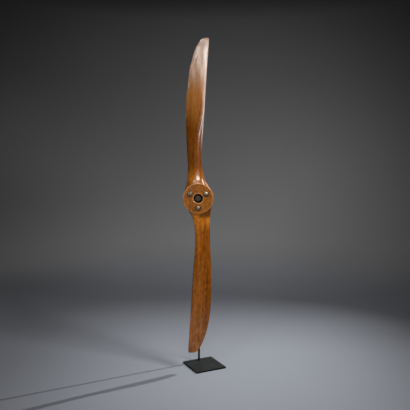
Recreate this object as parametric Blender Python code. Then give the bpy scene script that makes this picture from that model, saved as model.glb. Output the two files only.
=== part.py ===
"""Laminated wooden two-blade aircraft propeller, bolted to a steel display stand.

Metres, +Z up. The origin is the centre of the base plate's underside. The front face of
the propeller looks along -Y, and its blades stand upright, one above and one below the hub.
"""

import math

import bmesh
import bpy
import numpy as np
from mathutils import Matrix, Vector

# Propeller
DIAMETER = 2.200
HUB_DIAMETER = 0.210
HUB_THICKNESS = 0.105
HUB_CHAMFER = 0.004
LAMINATIONS = 7
PITCH_ADVANCE = 1.50
BORE_DIAMETER = 0.062
STUD_COUNT = 3
STUD_CIRCLE = 0.128
STUD_DIAMETER = 0.0127
STUD_CLEARANCE = 0.0010

# One blade, from the hub outwards: radius, leading edge and trailing edge measured sideways
# from the hub's upright centre line, front-to-back depth, and thickness across the chord
BLADE_STATIONS = (
    (0.000, 0.0980, 0.0980, 0.1000, 0.100),
    (0.030, 0.0980, 0.0980, 0.1000, 0.100),
    (0.060, 0.0855, 0.0920, 0.0998, 0.099),
    (0.090, 0.0690, 0.0860, 0.0988, 0.094),
    (0.105, 0.0585, 0.0842, 0.0950, 0.088),
    (0.120, 0.0490, 0.0828, 0.0886, 0.080),
    (0.160, 0.0350, 0.0812, 0.0765, 0.066),
    (0.200, 0.0272, 0.0805, 0.0722, 0.058),
    (0.300, 0.0210, 0.0820, 0.0722, 0.046),
    (0.400, 0.0265, 0.0865, 0.0705, 0.036),
    (0.500, 0.0335, 0.0905, 0.0665, 0.029),
    (0.600, 0.0405, 0.0925, 0.0600, 0.0235),
    (0.700, 0.0460, 0.0910, 0.0525, 0.0195),
    (0.800, 0.0520, 0.0855, 0.0450, 0.016),
    (0.900, 0.0580, 0.0710, 0.0375, 0.013),
    (0.960, 0.0625, 0.0565, 0.0320, 0.011),
    (1.010, 0.0655, 0.0395, 0.0270, 0.0095),
    (1.050, 0.0680, 0.0210, 0.0215, 0.008),
    (1.080, 0.0690, 0.0015, 0.0160, 0.007),
    (1.094, 0.0672, -0.0120, 0.0115, 0.006),
    (1.100, 0.0630, -0.0290, 0.0080, 0.005),
)
SECTION_POINTS = 20
TWIST_FULL_RADIUS = 0.30
TWIST_START_RADIUS = 0.05
AIRFOIL_START_RADIUS = 0.10
AIRFOIL_FULL_RADIUS = 0.45
# Share of the thickness in front of the chord: round in front near the hub, flat outboard
FRONT_SHARE_MIDDLE = 0.90
FRONT_SHARE_TIP = 0.25
FLATTENING_START_RADIUS = 0.30
FLATTENING_FULL_RADIUS = 0.75
NOSE_EXPONENT = (0.30, 0.50)
TAIL_EXPONENT = (0.30, 0.85)

# Nuts and washers, and how far the studs stand out of the nuts
NUT_ACROSS_FLATS = 0.0234
NUT_HEIGHT = 0.0120
STUD_PROUD = 0.0050
WASHER_DIAMETER = 0.0380
WASHER_THICKNESS = 0.0030
STUD_REAR_RECESS = 0.0005

# How much slimmer the upper blade is on its trailing side, where it was dressed, worn and
# broken: radius, depth of the loss
EDGE_LOSS = (
    (0.080, 0.0000),
    (0.140, 0.0045),
    (0.220, 0.0045),
    (0.340, 0.0005),
    (0.520, 0.0010),
    (0.620, 0.0040),
    (0.715, 0.0060),
    (0.755, 0.0105),
    (0.779, 0.0140),
    (0.787, 0.0115),
    (0.807, 0.0125),
    (0.861, 0.0105),
    (0.905, 0.0105),
    (0.945, 0.0125),
    (1.010, 0.0105),
    (1.050, 0.0100),
    (1.100, 0.0075),
)

# Stand
BASE_SIDE = 0.233
BASE_THICKNESS = 0.012
BASE_BEVEL = 0.0008
BASE_TURN = math.radians(28.4)
ROD_INSET = 0.0294
ROD_DIAMETER = 0.015
ROD_SETBACK = 0.1736
ROD_TOP_RISE = 0.012
HUB_HEIGHT = 1.229
FLANGE_DIAMETER = 0.165
FLANGE_THICKNESS = 0.010
BOSS_DIAMETER = 0.070
BOSS_LENGTH = 0.028
FLANGE_CHAMFER = 0.001
ARM_DIAMETER = 0.040
ARM_RECESS = 0.012
ARM_OVERHANG = 0.028
SET_SCREW_DIAMETER = 0.008
SET_SCREW_PROUD = 0.001
ROD_SCREW_RISE = 0.009
HEX_SOCKET_SHARE = 0.5
HEX_SOCKET_TURN = math.radians(15)
HEX_SOCKET_DEPTH = 0.003
FOOT_SCREW_DIAMETER = 0.008
FOOT_SCREW_LENGTH = 0.030
FOOT_HEAD_DIAMETER = 0.015
FOOT_HEAD_RECESS = 0.001

GAP = 0.0003
OVERRUN = 0.010
ROUND_SIDES = 24
HUB_SIDES = 64

# Directions, and places worked out from the sizes above
FORWARDS = Vector((0.0, 1.0, 0.0))
UPWARDS = Vector((0.0, 0.0, 1.0))
SIDEWAYS = Vector((1.0, 0.0, 0.0))
PLATE_FRONT = Vector((math.sin(BASE_TURN), -math.cos(BASE_TURN), 0.0))
ROD_FOOT = PLATE_FRONT * (ROD_INSET - BASE_SIDE / 2)
HUB_CENTRE = Vector((ROD_FOOT.x, ROD_FOOT.y - ROD_SETBACK, HUB_HEIGHT))
HUB_FRONT = HUB_CENTRE.y - HUB_THICKNESS / 2
HUB_REAR = HUB_CENTRE.y + HUB_THICKNESS / 2
FLANGE_FRONT = HUB_REAR + GAP
FLANGE_REAR = FLANGE_FRONT + FLANGE_THICKNESS
BOSS_REAR = FLANGE_REAR + BOSS_LENGTH
ARM_FRONT = HUB_FRONT + ARM_RECESS
ARM_REAR = ROD_FOOT.y + ARM_OVERHANG
ROD_TOP = HUB_HEIGHT + ROD_TOP_RISE


def clear_scene():
    """Remove every object, so that the script starts from nothing."""
    for obj in list(bpy.data.objects):
        bpy.data.objects.remove(obj, do_unlink=True)


def make_material(name, colour, roughness, metallic=0.0):
    """A Principled material of one colour."""
    material = bpy.data.materials.new(name)
    material.use_nodes = True
    shader = material.node_tree.nodes["Principled BSDF"]
    shader.inputs["Base Color"].default_value = (*colour, 1.0)
    shader.inputs["Roughness"].default_value = roughness
    shader.inputs["Metallic"].default_value = metallic
    return material


def add_object(name, mesh, material, location=(0.0, 0.0, 0.0)):
    """Link a mesh to the scene under a name, with its material and smooth shading."""
    if material is not None and not mesh.materials:
        mesh.materials.append(material)
    obj = bpy.data.objects.new(name, mesh)
    obj.location = location
    bpy.context.scene.collection.objects.link(obj)
    mesh.shade_smooth()
    mesh.set_sharp_from_angle(angle=math.radians(35))
    return obj


def as_cutter(obj):
    """Turn an object into a hidden helper for Boolean modifiers."""
    obj.hide_render = True
    obj.display_type = "WIRE"
    return obj


def add_boolean(obj, operation, other):
    """Join to, cut from or keep the overlap with another object, exactly."""
    modifier = obj.modifiers.new(f"{operation.title()} {other.name}", "BOOLEAN")
    modifier.operation = operation
    modifier.solver = "EXACT"
    modifier.object = other


def prism_mesh(name, sides, radius, length, chamfer=0.0, turn=0.0):
    """A closed prism along Y, centred, with optional 45 degree chamfers round both ends."""
    rings = [(-length / 2, radius - chamfer), (length / 2, radius - chamfer)]
    if chamfer:
        rings[1:1] = [(-length / 2 + chamfer, radius), (length / 2 - chamfer, radius)]
    angles = turn + 2 * math.pi * np.arange(sides) / sides
    bm = bmesh.new()
    loops = [
        [bm.verts.new((r * math.cos(a), y, r * math.sin(a))) for a in angles]
        for y, r in rings
    ]
    bm.faces.new(loops[0])
    bm.faces.new(loops[-1])
    for first, second in zip(loops, loops[1:]):
        for k in range(sides):
            j = (k + 1) % sides
            bm.faces.new((first[k], first[j], second[j], second[k]))
    return finish_mesh(bm, name)


def box_mesh(name, size, bevel=0.0):
    """A closed box of the given size, centred, with optional bevelled edges."""
    bm = bmesh.new()
    bmesh.ops.create_cube(bm, size=1.0, matrix=Matrix.Diagonal((*size, 1.0)))
    if bevel:
        bmesh.ops.bevel(bm, geom=bm.edges[:], offset=bevel, segments=1, affect="EDGES")
    return finish_mesh(bm, name)


def aimed(mesh, direction):
    """Turn a mesh made along +Y so that it points in another direction."""
    mesh.transform(FORWARDS.rotation_difference(direction).to_matrix().to_4x4())
    return mesh


def finish_mesh(bm, name):
    """Recalculate the normals outwards and hand the shape over as a mesh."""
    bmesh.ops.recalc_face_normals(bm, faces=bm.faces)
    mesh = bpy.data.meshes.new(name)
    bm.to_mesh(mesh)
    bm.free()
    return mesh


def smooth_step(value, low, high):
    """0 below low, 1 above high, and a smooth rise between them."""
    t = np.clip((value - low) / (high - low), 0.0, 1.0)
    return t * t * (3.0 - 2.0 * t)


def along_blade(radius, column):
    """One column of the station table at any radius, on a smooth curve through its points."""
    radii = np.array([row[0] for row in BLADE_STATIONS])
    values = np.array([row[column] for row in BLADE_STATIONS])
    slopes = np.gradient(values, radii)
    k = int(np.clip(np.searchsorted(radii, radius) - 1, 0, len(radii) - 2))
    span = radii[k + 1] - radii[k]
    t = (radius - radii[k]) / span
    return float(
        values[k] * (1 + 2 * t) * (1 - t) ** 2
        + values[k + 1] * t * t * (3 - 2 * t)
        + span * t * (1 - t) * (slopes[k] * (1 - t) - slopes[k + 1] * t)
    )


def fitted(values, low, high):
    """Values shifted and stretched to run from low to high."""
    share = (values - values.min()) / (values.max() - values.min())
    return low + share * (high - low)


def blade_angle(radius):
    """Angle of the section to the disc: a constant advance per turn, easing to flat at the hub."""
    full = math.atan(PITCH_ADVANCE / (2 * math.pi * max(radius, TWIST_FULL_RADIUS)))
    return full * float(smooth_step(radius, TWIST_START_RADIUS, TWIST_FULL_RADIUS))


def blade_section(radius, loss=0.0):
    """Points round one section as (sideways, forwards): box-like at the hub, an airfoil outboard."""
    leading = along_blade(radius, 1)
    trailing = along_blade(radius, 2) - loss
    depth = along_blade(radius, 3)
    thickness = along_blade(radius, 4)
    angle = blade_angle(radius)
    root_ease = float(smooth_step(radius, 0.0, 0.16))
    airfoil = float(smooth_step(radius, AIRFOIL_START_RADIUS, AIRFOIL_FULL_RADIUS))
    nose = NOSE_EXPONENT[0] + (NOSE_EXPONENT[1] - NOSE_EXPONENT[0]) * root_ease
    tail = TAIL_EXPONENT[0] + (0.5 - TAIL_EXPONENT[0]) * root_ease
    tail += (TAIL_EXPONENT[1] - 0.5) * airfoil
    flattening = float(smooth_step(radius, FLATTENING_START_RADIUS, FLATTENING_FULL_RADIUS))
    front_share = 0.5 + (FRONT_SHARE_MIDDLE - 0.5) * airfoil
    front_share += (FRONT_SHARE_TIP - front_share) * flattening
    turn = 2 * math.pi * np.arange(SECTION_POINTS) / SECTION_POINTS
    from_nose = (1 - np.cos(turn)) / 2
    peak = nose / (nose + tail)
    height = from_nose**nose * (1 - from_nose) ** tail / (peak**nose * (1 - peak) ** tail)
    front = np.sin(turn) >= 0
    offset = thickness * height * np.where(front, front_share, front_share - 1.0)
    chord = (leading + trailing) / math.cos(angle)
    along = chord * (0.5 - from_nose)
    sideways = along * math.cos(angle) - offset * math.sin(angle)
    forwards = along * math.sin(angle) + offset * math.cos(angle)
    sideways = fitted(sideways, -trailing, leading)
    forwards = fitted(forwards, -depth / 2, depth / 2)
    return sideways, forwards


def blades_mesh():
    """Both blades as one closed loft from tip to tip, through the hub."""
    inner = [row[0] for row in BLADE_STATIONS if row[0] > 0]
    halfway = [(a + b) / 2 for a, b in zip(inner, inner[1:]) if b - a > 0.06]
    loss_radii, losses = (list(column) for column in zip(*EDGE_LOSS))
    radii = sorted({*inner, *halfway, *loss_radii})
    bm = bmesh.new()
    loops = []
    for radius in [-r for r in reversed(radii)] + radii:
        loss = float(np.interp(radius, loss_radii, losses, left=0.0))
        sideways, forwards = blade_section(abs(radius), loss)
        sign = math.copysign(1.0, radius)
        places = zip(sign * sideways, forwards)
        loops.append([bm.verts.new((x, -y, radius)) for x, y in places])
    count = SECTION_POINTS
    half = len(loops) // 2
    loops[:half] = [[loop[(count // 2 - k) % count] for k in range(count)] for loop in loops[:half]]
    for first, second in zip(loops, loops[1:]):
        for k in range(count):
            j = (k + 1) % count
            bm.faces.new((first[k], first[j], second[j], second[k]))
    bm.faces.new(loops[0])
    bm.faces.new(loops[-1])
    bmesh.ops.triangulate(bm, faces=bm.faces)
    return finish_mesh(bm, "blades")


def stud_places():
    """Centres of the studs round the hub: one below the bore, the others at equal angles."""
    angles = [-math.pi / 2 + 2 * math.pi * k / STUD_COUNT for k in range(STUD_COUNT)]
    return [
        Vector((math.cos(a), 0.0, math.sin(a))) * STUD_CIRCLE / 2 + HUB_CENTRE
        for a in angles
    ]


def along_y(place, front, rear):
    """The middle of a stretch along Y, at a place in the XZ plane."""
    return Vector((place.x, (front + rear) / 2, place.z))


def build_stud_hole_cutters():
    """One long rod for each stud hole, shared by the propeller and the flange."""
    radius = STUD_DIAMETER / 2 + STUD_CLEARANCE
    mesh = prism_mesh("stud_hole", ROUND_SIDES // 2, radius, 2 * HUB_THICKNESS)
    return [
        as_cutter(add_object(f"stud_hole_{k + 1}", mesh, None, place))
        for k, place in enumerate(stud_places())
    ]


def build_laminations(wood, stud_holes):
    """The propeller, sliced into its full-length boards from the front to the rear."""
    blank = as_cutter(add_object("propeller_blank", blades_mesh(), wood, HUB_CENTRE))
    hub = prism_mesh("hub", HUB_SIDES, HUB_DIAMETER / 2, HUB_THICKNESS, HUB_CHAMFER)
    bore = prism_mesh("bore", ROUND_SIDES, BORE_DIAMETER / 2, HUB_THICKNESS + OVERRUN)
    add_boolean(blank, "UNION", as_cutter(add_object("hub", hub, wood, HUB_CENTRE)))
    for cutter in [as_cutter(add_object("bore", bore, None, HUB_CENTRE)), *stud_holes]:
        add_boolean(blank, "DIFFERENCE", cutter)
    bpy.context.view_layer.update()
    graph = bpy.context.evaluated_depsgraph_get()
    whole = bpy.data.meshes.new_from_object(blank.evaluated_get(graph))
    pitch = HUB_THICKNESS / LAMINATIONS
    for k in range(LAMINATIONS):
        front = HUB_FRONT + k * pitch - (OVERRUN if k == 0 else -GAP / 2)
        rear = HUB_FRONT + (k + 1) * pitch + (OVERRUN if k == LAMINATIONS - 1 else -GAP / 2)
        slab = box_mesh("slab", (DIAMETER, rear - front, DIAMETER + OVERRUN))
        slab_place = Vector((HUB_CENTRE.x, (front + rear) / 2, HUB_CENTRE.z))
        cutter = as_cutter(add_object(f"slab_{k + 1}", slab, None, slab_place))
        board = add_object(f"lamination_{k + 1}", whole.copy(), wood, HUB_CENTRE)
        add_boolean(board, "INTERSECT", cutter)


def build_fasteners(plated):
    """Studs held in the flange, each with a washer and a nut on the front of the hub."""
    washer_front = HUB_FRONT - GAP - WASHER_THICKNESS
    nut_rear = washer_front - GAP
    nut_front = nut_rear - NUT_HEIGHT
    stud_front = nut_front - STUD_PROUD
    stud_rear = FLANGE_REAR - STUD_REAR_RECESS
    stud = prism_mesh("stud", ROUND_SIDES // 2, STUD_DIAMETER / 2, stud_rear - stud_front, 0.001)
    nut = prism_mesh("nut", 6, NUT_ACROSS_FLATS / math.sqrt(3), NUT_HEIGHT)
    washer = prism_mesh("washer", ROUND_SIDES, WASHER_DIAMETER / 2, WASHER_THICKNESS)
    hole_radius = STUD_DIAMETER / 2 + GAP
    for k, place in enumerate(stud_places(), start=1):
        add_object(f"stud_{k}", stud.copy(), plated, along_y(place, stud_front, stud_rear))
        washer_place = along_y(place, washer_front, HUB_FRONT - GAP)
        washer_object = add_object(f"washer_{k}", washer.copy(), plated, washer_place)
        nut_object = add_object(f"nut_{k}", nut.copy(), plated, along_y(place, nut_front, nut_rear))
        for ring in (washer_object, nut_object):
            name = f"{ring.name}_hole"
            cut_round_hole(ring, name, place, hole_radius, nut_front - OVERRUN, HUB_FRONT)


def build_stand_head(steel, stud_holes):
    """The flange behind the hub, the arm through its bore, and the set screws that hold both."""
    disc_sides = HUB_SIDES // 2
    disc = prism_mesh(
        "flange", disc_sides, FLANGE_DIAMETER / 2, FLANGE_THICKNESS, FLANGE_CHAMFER
    )
    flange = add_object("flange", disc, steel, along_y(HUB_CENTRE, FLANGE_FRONT, FLANGE_REAR))
    boss_front = FLANGE_REAR - FLANGE_THICKNESS / 2
    boss = prism_mesh("boss", disc_sides, BOSS_DIAMETER / 2, BOSS_REAR - boss_front, FLANGE_CHAMFER)
    boss_place = along_y(HUB_CENTRE, boss_front, BOSS_REAR)
    add_boolean(flange, "UNION", as_cutter(add_object("boss", boss, None, boss_place)))
    for cutter in stud_holes:
        add_boolean(flange, "DIFFERENCE", cutter)
    cut_round_hole(
        flange, "arm_hole", HUB_CENTRE, ARM_DIAMETER / 2 + GAP,
        FLANGE_FRONT - OVERRUN, BOSS_REAR + OVERRUN, ROUND_SIDES,
    )

    bar = prism_mesh("arm", ROUND_SIDES, ARM_DIAMETER / 2, ARM_REAR - ARM_FRONT, FLANGE_CHAMFER)
    arm = add_object("arm", bar, steel, along_y(HUB_CENTRE, ARM_FRONT, ARM_REAR))
    hole_bottom = HUB_HEIGHT - ARM_DIAMETER / 2 - OVERRUN
    hole_top = ROD_TOP + GAP
    hole = prism_mesh("rod_hole", ROUND_SIDES, ROD_DIAMETER / 2 + GAP, hole_top - hole_bottom)
    hole_place = Vector((ROD_FOOT.x, ROD_FOOT.y, (hole_bottom + hole_top) / 2))
    hole_cutter = as_cutter(add_object("rod_hole", aimed(hole, UPWARDS), None, hole_place))
    add_boolean(arm, "DIFFERENCE", hole_cutter)

    boss_middle = Vector((HUB_CENTRE.x, BOSS_REAR - BOSS_LENGTH / 2, HUB_CENTRE.z))
    boss_reach = BOSS_DIAMETER / 2 + SET_SCREW_PROUD - ARM_DIAMETER / 2 - GAP
    for k, direction in enumerate((UPWARDS, SIDEWAYS), start=1):
        tip = boss_middle + direction * (ARM_DIAMETER / 2 + GAP)
        build_set_screw(f"set_screw_{k}", tip, direction, boss_reach, steel, flange)
    rod_back = ROD_FOOT.y + ROD_DIAMETER / 2 + 2 * GAP
    rod_reach = ARM_REAR + SET_SCREW_PROUD - rod_back
    for k, rise in enumerate((ROD_SCREW_RISE, -ROD_SCREW_RISE), start=3):
        tip = Vector((ROD_FOOT.x, rod_back, HUB_HEIGHT + rise))
        build_set_screw(f"set_screw_{k}", tip, FORWARDS, rod_reach, steel, arm)


def cut_round_hole(obj, name, place, radius, front, rear, sides=ROUND_SIDES // 2):
    """Drill a round hole along Y into an object, from front to rear."""
    hole = prism_mesh(name, sides, radius, rear - front)
    cutter = as_cutter(add_object(name, hole, None, along_y(place, front, rear)))
    add_boolean(obj, "DIFFERENCE", cutter)


def hex_socket_mesh(name, diameter):
    """A hexagonal prism along Y that cuts the key socket of a screw of the given diameter."""
    radius = HEX_SOCKET_SHARE * diameter / math.sqrt(3)
    return prism_mesh(name, 6, radius, 2 * HEX_SOCKET_DEPTH, turn=HEX_SOCKET_TURN)


def build_set_screw(name, tip, direction, length, steel, holder):
    """A set screw from its tip outwards, the hole it sits in, and its hexagonal key socket."""
    radius = SET_SCREW_DIAMETER / 2
    hole = prism_mesh(f"{name}_hole", ROUND_SIDES // 2, radius + GAP, length + 1.5 * OVERRUN)
    hole_place = tip + direction * (length / 2 + OVERRUN / 4)
    hole_cutter = as_cutter(add_object(f"{name}_hole", aimed(hole, direction), None, hole_place))
    add_boolean(holder, "DIFFERENCE", hole_cutter)
    body = aimed(prism_mesh(name, ROUND_SIDES // 2, radius, length), direction)
    screw = add_object(name, body, steel, tip + direction * (length / 2))
    socket = aimed(hex_socket_mesh(f"{name}_socket", SET_SCREW_DIAMETER), direction)
    end = tip + direction * length
    add_boolean(screw, "DIFFERENCE", as_cutter(add_object(f"{name}_socket", socket, None, end)))


def build_rod_and_base(steel, painted):
    """The upright rod, the square base plate and the countersunk screw that joins them."""
    rod_bottom = BASE_THICKNESS + GAP
    rod = prism_mesh("rod", ROUND_SIDES, ROD_DIAMETER / 2, ROD_TOP - rod_bottom, 0.0008)
    rod_place = Vector((ROD_FOOT.x, ROD_FOOT.y, (ROD_TOP + rod_bottom) / 2))
    rod_object = add_object("rod", aimed(rod, UPWARDS), painted, rod_place)

    base = add_object(
        "base_plate",
        box_mesh("base_plate", (BASE_SIDE, BASE_SIDE, BASE_THICKNESS), BASE_BEVEL),
        painted,
        (0.0, 0.0, BASE_THICKNESS / 2),
    )
    base.rotation_euler.z = BASE_TURN

    screw = foot_screw_mesh("foot_screw", 0.0)
    screw_place = Vector((ROD_FOOT.x, ROD_FOOT.y, FOOT_HEAD_RECESS))
    screw_object = add_object("foot_screw", screw, steel, screw_place)
    hole = foot_screw_mesh("foot_screw_hole", GAP)
    cutter = as_cutter(add_object("foot_screw_hole", hole, None, screw_place))
    add_boolean(rod_object, "DIFFERENCE", cutter)
    add_boolean(base, "DIFFERENCE", cutter)
    socket = aimed(hex_socket_mesh("foot_socket", FOOT_SCREW_DIAMETER), UPWARDS)
    add_boolean(
        screw_object, "DIFFERENCE", as_cutter(add_object("foot_socket", socket, None, screw_place))
    )


def foot_screw_mesh(name, grow):
    """A countersunk screw pointing up from its flat head; a hole for it is the same, grown."""
    radius = FOOT_SCREW_DIAMETER / 2 + grow
    head = FOOT_HEAD_DIAMETER / 2 + grow
    start = -FOOT_HEAD_RECESS - OVERRUN if grow else 0.0
    cone = head - radius
    profile = [(start, head), (cone, radius), (FOOT_SCREW_LENGTH + grow, radius)]
    if grow:
        profile.insert(1, (0.0, head))
    angles = 2 * math.pi * np.arange(ROUND_SIDES // 2) / (ROUND_SIDES // 2)
    bm = bmesh.new()
    loops = [[bm.verts.new((r * math.cos(a), r * math.sin(a), z)) for a in angles] for z, r in profile]
    bm.faces.new(loops[0])
    bm.faces.new(loops[-1])
    for first, second in zip(loops, loops[1:]):
        for k in range(len(angles)):
            j = (k + 1) % len(angles)
            bm.faces.new((first[k], first[j], second[j], second[k]))
    return finish_mesh(bm, name)


def main():
    clear_scene()
    wood = make_material("varnished_wood", (0.23, 0.075, 0.018), 0.35)
    plated = make_material("aged_plated_steel", (0.36, 0.30, 0.20), 0.40, 1.0)
    steel = make_material("blackened_steel", (0.035, 0.036, 0.040), 0.45, 0.6)
    painted = make_material("black_painted_steel", (0.012, 0.012, 0.013), 0.40)
    stud_holes = build_stud_hole_cutters()
    build_laminations(wood, stud_holes)
    build_fasteners(plated)
    build_stand_head(steel, stud_holes)
    build_rod_and_base(steel, painted)


main()
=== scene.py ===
"""Laminated wooden propeller on its black steel stand, dressed and lit for a studio picture.

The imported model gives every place: the hub's axis runs along Y with its front face towards
-Y, the blades stand along Z, and the base plate lies on the floor at height zero.
"""

import logging
import math
from dataclasses import dataclass, field
from enum import Enum
from typing import Any

import bpy
import numpy as np
from mathutils import Matrix, Vector


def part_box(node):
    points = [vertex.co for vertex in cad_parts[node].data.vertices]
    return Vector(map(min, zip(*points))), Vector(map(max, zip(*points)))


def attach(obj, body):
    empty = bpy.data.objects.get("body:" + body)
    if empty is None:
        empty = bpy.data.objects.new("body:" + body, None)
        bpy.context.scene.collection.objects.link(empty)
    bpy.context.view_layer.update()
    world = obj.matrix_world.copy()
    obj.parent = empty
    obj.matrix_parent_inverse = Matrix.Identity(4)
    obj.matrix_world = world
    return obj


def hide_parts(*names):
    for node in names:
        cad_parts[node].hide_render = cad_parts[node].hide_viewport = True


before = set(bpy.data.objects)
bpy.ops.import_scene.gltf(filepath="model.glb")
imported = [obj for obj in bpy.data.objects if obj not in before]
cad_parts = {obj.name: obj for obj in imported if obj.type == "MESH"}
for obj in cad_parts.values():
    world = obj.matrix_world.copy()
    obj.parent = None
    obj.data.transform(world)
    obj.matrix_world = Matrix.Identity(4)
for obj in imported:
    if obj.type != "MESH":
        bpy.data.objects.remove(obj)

Array = np.ndarray
Colour = tuple[float, float, float]

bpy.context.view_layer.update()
BODY = "root"
FULL_TURN = 2.0 * math.pi
log = logging.getLogger("propeller")


class Slot(Enum):
    """The record's material slots."""

    WOOD = "propeller_wood"
    PLATED = "aged_plated_steel"
    STAND = "black_stand_steel"
    SCREWS = "black_screw_steel"


class Ends(Enum):
    """How a run of rings is closed: back onto its first ring, or by a point at each end."""

    JOINED = "joined"
    CAPPED = "capped"


class Side(Enum):
    """Which way a blade points from the hub."""

    UPPER = 1.0
    LOWER = -1.0


# Shapes as arrays


def smooth_step(value: Array, low: float, high: float) -> Array:
    """A smooth rise, 3t^2 - 2t^3, from 0 at low to 1 at high.

    Args:
        value: Numbers to look up.
        low: Where the rise starts.
        high: Where it ends; it may lie below low, which turns the rise into a fall.

    Returns:
        The height of the rise at each value.
    """
    t = np.clip((value - low) / (high - low), 0.0, 1.0)
    return t * t * (3.0 - 2.0 * t)


def ripple(points: Array, wavelength: float, seed: int, waves: int = 9) -> Array:
    """A gentle uneven field: the mean of cosine waves in directions drawn from a seed.

    Args:
        points: Places, with the three coordinates last.
        wavelength: Typical distance between crests, in metres.
        seed: Seed of the directions, lengths and phases.
        waves: How many waves are added.

    Returns:
        One number a place, mostly between -1 and 1.
    """
    draw = np.random.default_rng(seed)
    direction = draw.normal(size=(waves, 3))
    direction /= np.linalg.norm(direction, axis=1, keepdims=True)
    length = wavelength * draw.uniform(0.6, 1.6, waves)
    phase = draw.uniform(0.0, FULL_TURN, waves)
    angle = points @ (direction * (FULL_TURN / length[:, None])).T + phase
    return np.cos(angle).sum(axis=-1) / math.sqrt(waves)


def softened(corners: Array, reach: float, closed: bool, steps: int = 5) -> Array:
    """A profile with its corners rounded by parabolic arcs that leave each side at a reach.

    Each arc is (1-s)^2 A + 2s(1-s) P + s^2 B, where P is the corner and A and B lie on its
    two sides at the reach, or at 45 % of a side that is too short for it.

    Args:
        corners: Points of the profile, one row each.
        reach: Distance from a corner at which the rounding starts.
        closed: Whether the last point joins the first; an open profile keeps its two ends.
        steps: Points in each arc.

    Returns:
        The rounded profile.
    """
    before = np.roll(corners, 1, axis=0) - corners
    after = np.roll(corners, -1, axis=0) - corners
    length_before = np.linalg.norm(before, axis=1, keepdims=True)
    length_after = np.linalg.norm(after, axis=1, keepdims=True)
    start = corners + before / length_before * np.minimum(reach, 0.45 * length_before)
    end = corners + after / length_after * np.minimum(reach, 0.45 * length_after)
    s = np.linspace(0.0, 1.0, steps)[None, :, None]
    arcs = (1 - s) ** 2 * start[:, None] + 2 * s * (1 - s) * corners[:, None] + s**2 * end[:, None]
    if closed:
        return arcs.reshape(-1, 2)
    return np.concatenate([corners[:1], arcs[1:-1].reshape(-1, 2), corners[-1:]])


def hexagon(angle: Array, turn: float) -> Array:
    """Radius of a hexagon as a share of its corner radius, cos 30 / cos(a mod 60 - 30).

    Args:
        angle: Angles round the axis.
        turn: Angle of one corner.

    Returns:
        The share at each angle.
    """
    sixth = math.pi / 3
    return math.cos(sixth / 2) / np.cos((angle - turn) % sixth - sixth / 2)


@dataclass(frozen=True)
class Axle:
    """A line that round pieces are turned about: its start, its way, and two ways across it."""

    start: tuple[float, float, float]
    along: tuple[float, float, float] = (0.0, 1.0, 0.0)
    across: tuple[float, float, float] = (1.0, 0.0, 0.0)

    def points(self, radius: Array, distance: Array, angle: Array) -> Array:
        """Places from cylinder coordinates about the line.

        Args:
            radius: Distances from the line, one row a ring.
            distance: Distances along the line, one row a ring.
            angle: Angles of the columns.

        Returns:
            The places, with the three coordinates last.
        """
        along = np.array(self.along)
        first = np.array(self.across)
        second = np.cross(first, along)
        outwards = np.cos(angle)[:, None] * first + np.sin(angle)[:, None] * second
        return np.array(self.start) + radius[..., None] * outwards + distance[..., None] * along


def ring_mesh(name: str, rings: Array, ends: Ends) -> bpy.types.Mesh:
    """A closed mesh over rows of rings, with its faces turned outwards.

    Args:
        name: Name of the mesh.
        rings: Places of shape (rings, points in a ring, 3).
        ends: How the run of rings is closed.

    Returns:
        The mesh, smooth shaded with sharp edges kept.
    """
    rows, columns = rings.shape[:2]
    points = rings.reshape(-1, 3)
    last = rows if ends is Ends.JOINED else rows - 1
    row, column = np.meshgrid(np.arange(last), np.arange(columns), indexing="ij")
    next_row = (row + 1) % rows * columns
    next_column = (column + 1) % columns
    row = row * columns
    quads = np.stack(
        [row + column, row + next_column, next_row + next_column, next_row + column], -1
    ).reshape(-1, 4)
    caps = np.zeros((0, 3), int)
    if ends is Ends.CAPPED:
        count = len(points)
        middles = np.stack([rings[0].mean(axis=0), rings[-1].mean(axis=0)])
        points = np.concatenate([points, middles])
        here = np.arange(columns)
        there = (here + 1) % columns
        tail = (rows - 1) * columns
        caps = np.concatenate([
            np.stack([there, here, np.full(columns, count)], -1),
            np.stack([here + tail, there + tail, np.full(columns, count + 1)], -1),
        ])
    corners = np.concatenate([quads[:, [0, 1, 2]], quads[:, [0, 2, 3]], caps])
    a, b, c = (points[corners[:, k]] for k in range(3))
    if np.einsum("ij,ij->", a, np.cross(b, c)) < 0.0:
        quads, caps = quads[:, ::-1], caps[:, ::-1]
    mesh = bpy.data.meshes.new(name)
    mesh.from_pydata(points.tolist(), [], quads.tolist() + caps.tolist())
    mesh.shade_smooth()
    mesh.set_sharp_from_angle(angle=math.radians(38))
    return mesh


def turned_mesh(
    name: str,
    axle: Axle,
    profile: Array,
    ends: Ends,
    sides: int = 72,
    hexed: Array | None = None,
    turn: float = 0.0,
) -> bpy.types.Mesh:
    """A piece turned about an axle: its profile swept round a full circle.

    A ring's radius is r (1 - h + h q), where h is the ring's share of hexagon and q the
    hexagon's own radius at that angle, so one profile may run from round to six-sided.

    Args:
        name: Name of the mesh.
        axle: The line it is turned about.
        profile: Rows of radius and distance along the axle.
        ends: How the profile is closed.
        sides: Points round the circle.
        hexed: Share of hexagon of each ring, or None for all round.
        turn: Angle of one corner of the hexagon.

    Returns:
        The mesh.
    """
    angle = FULL_TURN * np.arange(sides) / sides
    radius = np.repeat(profile[:, :1], sides, axis=1)
    if hexed is not None:
        radius = radius * (1.0 + hexed[:, None] * (hexagon(angle, turn) - 1.0))
    distance = np.repeat(profile[:, 1:2], sides, axis=1)
    return ring_mesh(name, axle.points(radius, distance, angle), ends)


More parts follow.
